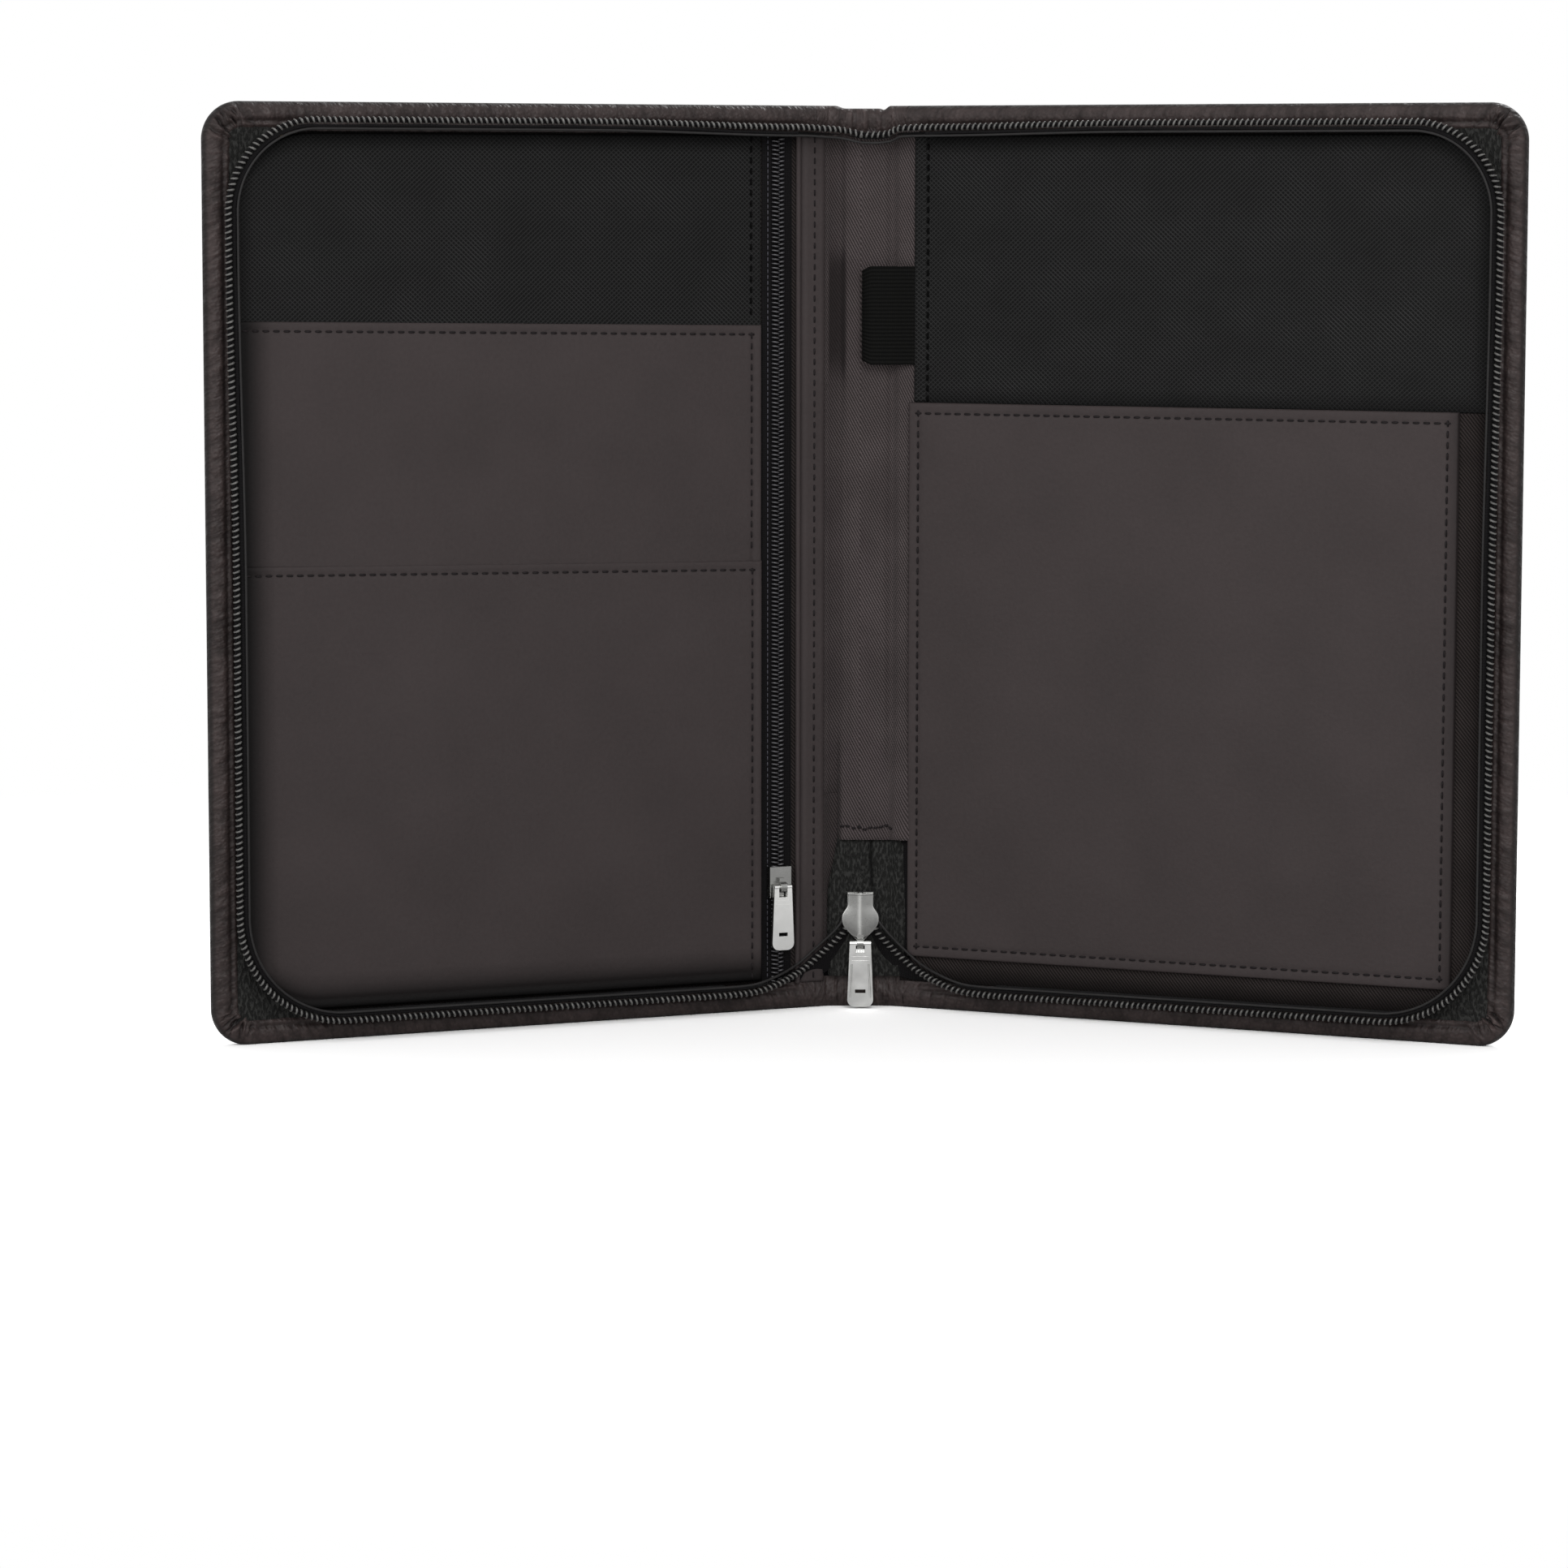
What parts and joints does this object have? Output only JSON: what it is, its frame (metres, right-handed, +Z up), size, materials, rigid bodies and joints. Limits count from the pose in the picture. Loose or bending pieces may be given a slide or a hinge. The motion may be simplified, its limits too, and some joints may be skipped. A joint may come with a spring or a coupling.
{
  "type": "car document holder",
  "caption": "Zip-round leather document holder shown standing open, with inner slip pockets, a zipped pocket, an elastic pen loop and a metal zip slider with a hanging pull tab.",
  "frame": {"origin": "on the ground at the middle of the spine's foot, between the two hinge lines", "axes": "+X to the right as seen from the open side, +Y away from the viewer towards the outside of the spine, +Z up along the spine"},
  "size_m": [0.3482, 0.0797, 0.25],
  "materials": {
    "leather": "soft dark brown-grey leather with a fine grain",
    "leatherette": "matt dark brown leatherette",
    "saffiano": "black cross-hatched leatherette",
    "twill": "dark brown twill lining",
    "zip_tape": "black woven zip tape",
    "zip_coil": "dark grey nylon coil",
    "elastic": "black ribbed elastic",
    "foam": "thin foam padding",
    "board": "stiff greyboard",
    "nickel": "bright nickel-plated zinc"
  },
  "bodies": {
    "spine": {"spine_skin": "leather", "spine_lining": "twill", "spine_top_hem": "leather", "spine_bottom_hem": "leather", "lining_flap": "twill", "zip_tongue": "zip_tape", "spine_zip_tape": "zip_tape", "spine_zip_coil": "zip_coil"},
    "left_cover": {"left_skin": "leather", "left_foam": "foam", "left_board": "board", "left_hem": "leather", "left_lining": "twill", "left_zip_tape": "zip_tape", "left_zip_coil": "zip_coil", "left_panel": "saffiano", "left_upper_pocket": "leatherette", "left_lower_pocket": "leatherette", "left_facing": "leatherette", "left_welt": "leatherette", "pocket_tape_inner": "zip_tape", "pocket_tape_outer": "zip_tape", "pocket_chain": "zip_coil"},
    "right_cover": {"right_skin": "leather", "right_foam": "foam", "right_board": "board", "right_hem": "leather", "right_lining": "twill", "right_zip_tape": "zip_tape", "right_zip_coil": "zip_coil", "right_panel": "saffiano", "right_pocket": "leatherette", "right_edge_strip": "saffiano"},
    "loop": {"pen_loop": "elastic"},
    "slider": {"main_slider": "nickel"},
    "pull": {"main_pull": "nickel"},
    "zip_slider": {"pocket_slider": "nickel"},
    "zip_pull": {"pocket_pull": "nickel"}
  },
  "joints": [
    {"name": "left_hinge", "type": "hinge", "parent": "spine", "child": "left_cover", "pos_m": [-0.01, 0, 0.125], "axis": [0, 0, 1], "range_deg": [-23.7, 66.3]},
    {"name": "right_hinge", "type": "hinge", "parent": "spine", "child": "right_cover", "pos_m": [0.01, 0, 0.125], "axis": [0, 0, -1], "range_deg": [-23.7, 66.3]},
    {"name": "loop_turn", "type": "hinge", "parent": "spine", "child": "loop", "pos_m": [0.0019, -0.0054, 0.193], "axis": [0, 0, -1], "range_deg": [-23.7, 66.3]},
    {"name": "slider_travel", "type": "slide", "parent": "spine", "child": "slider", "axis": [0, 0, 1], "range_m": [0, 0.01]},
    {"name": "pull_swing", "type": "hinge", "parent": "slider", "child": "pull", "pos_m": [0.0003, -0.0072, 0.0184], "axis": [-1, 0, 0], "range_deg": [-3, 160]},
    {"name": "zip_slider_travel", "type": "slide", "parent": "left_cover", "child": "zip_slider", "axis": [0, 0, 1], "range_m": [0, 0.185]},
    {"name": "zip_pull_swing", "type": "hinge", "parent": "zip_slider", "child": "zip_pull", "pos_m": [-0.0214, -0.01309, 0.035], "axis": [-0.9157, -0.4019, 0], "range_deg": [0, 165]}
  ],
  "couplings": [
    {"joint": "loop_turn", "follows": "right_hinge", "ratio": 1}
  ]
}
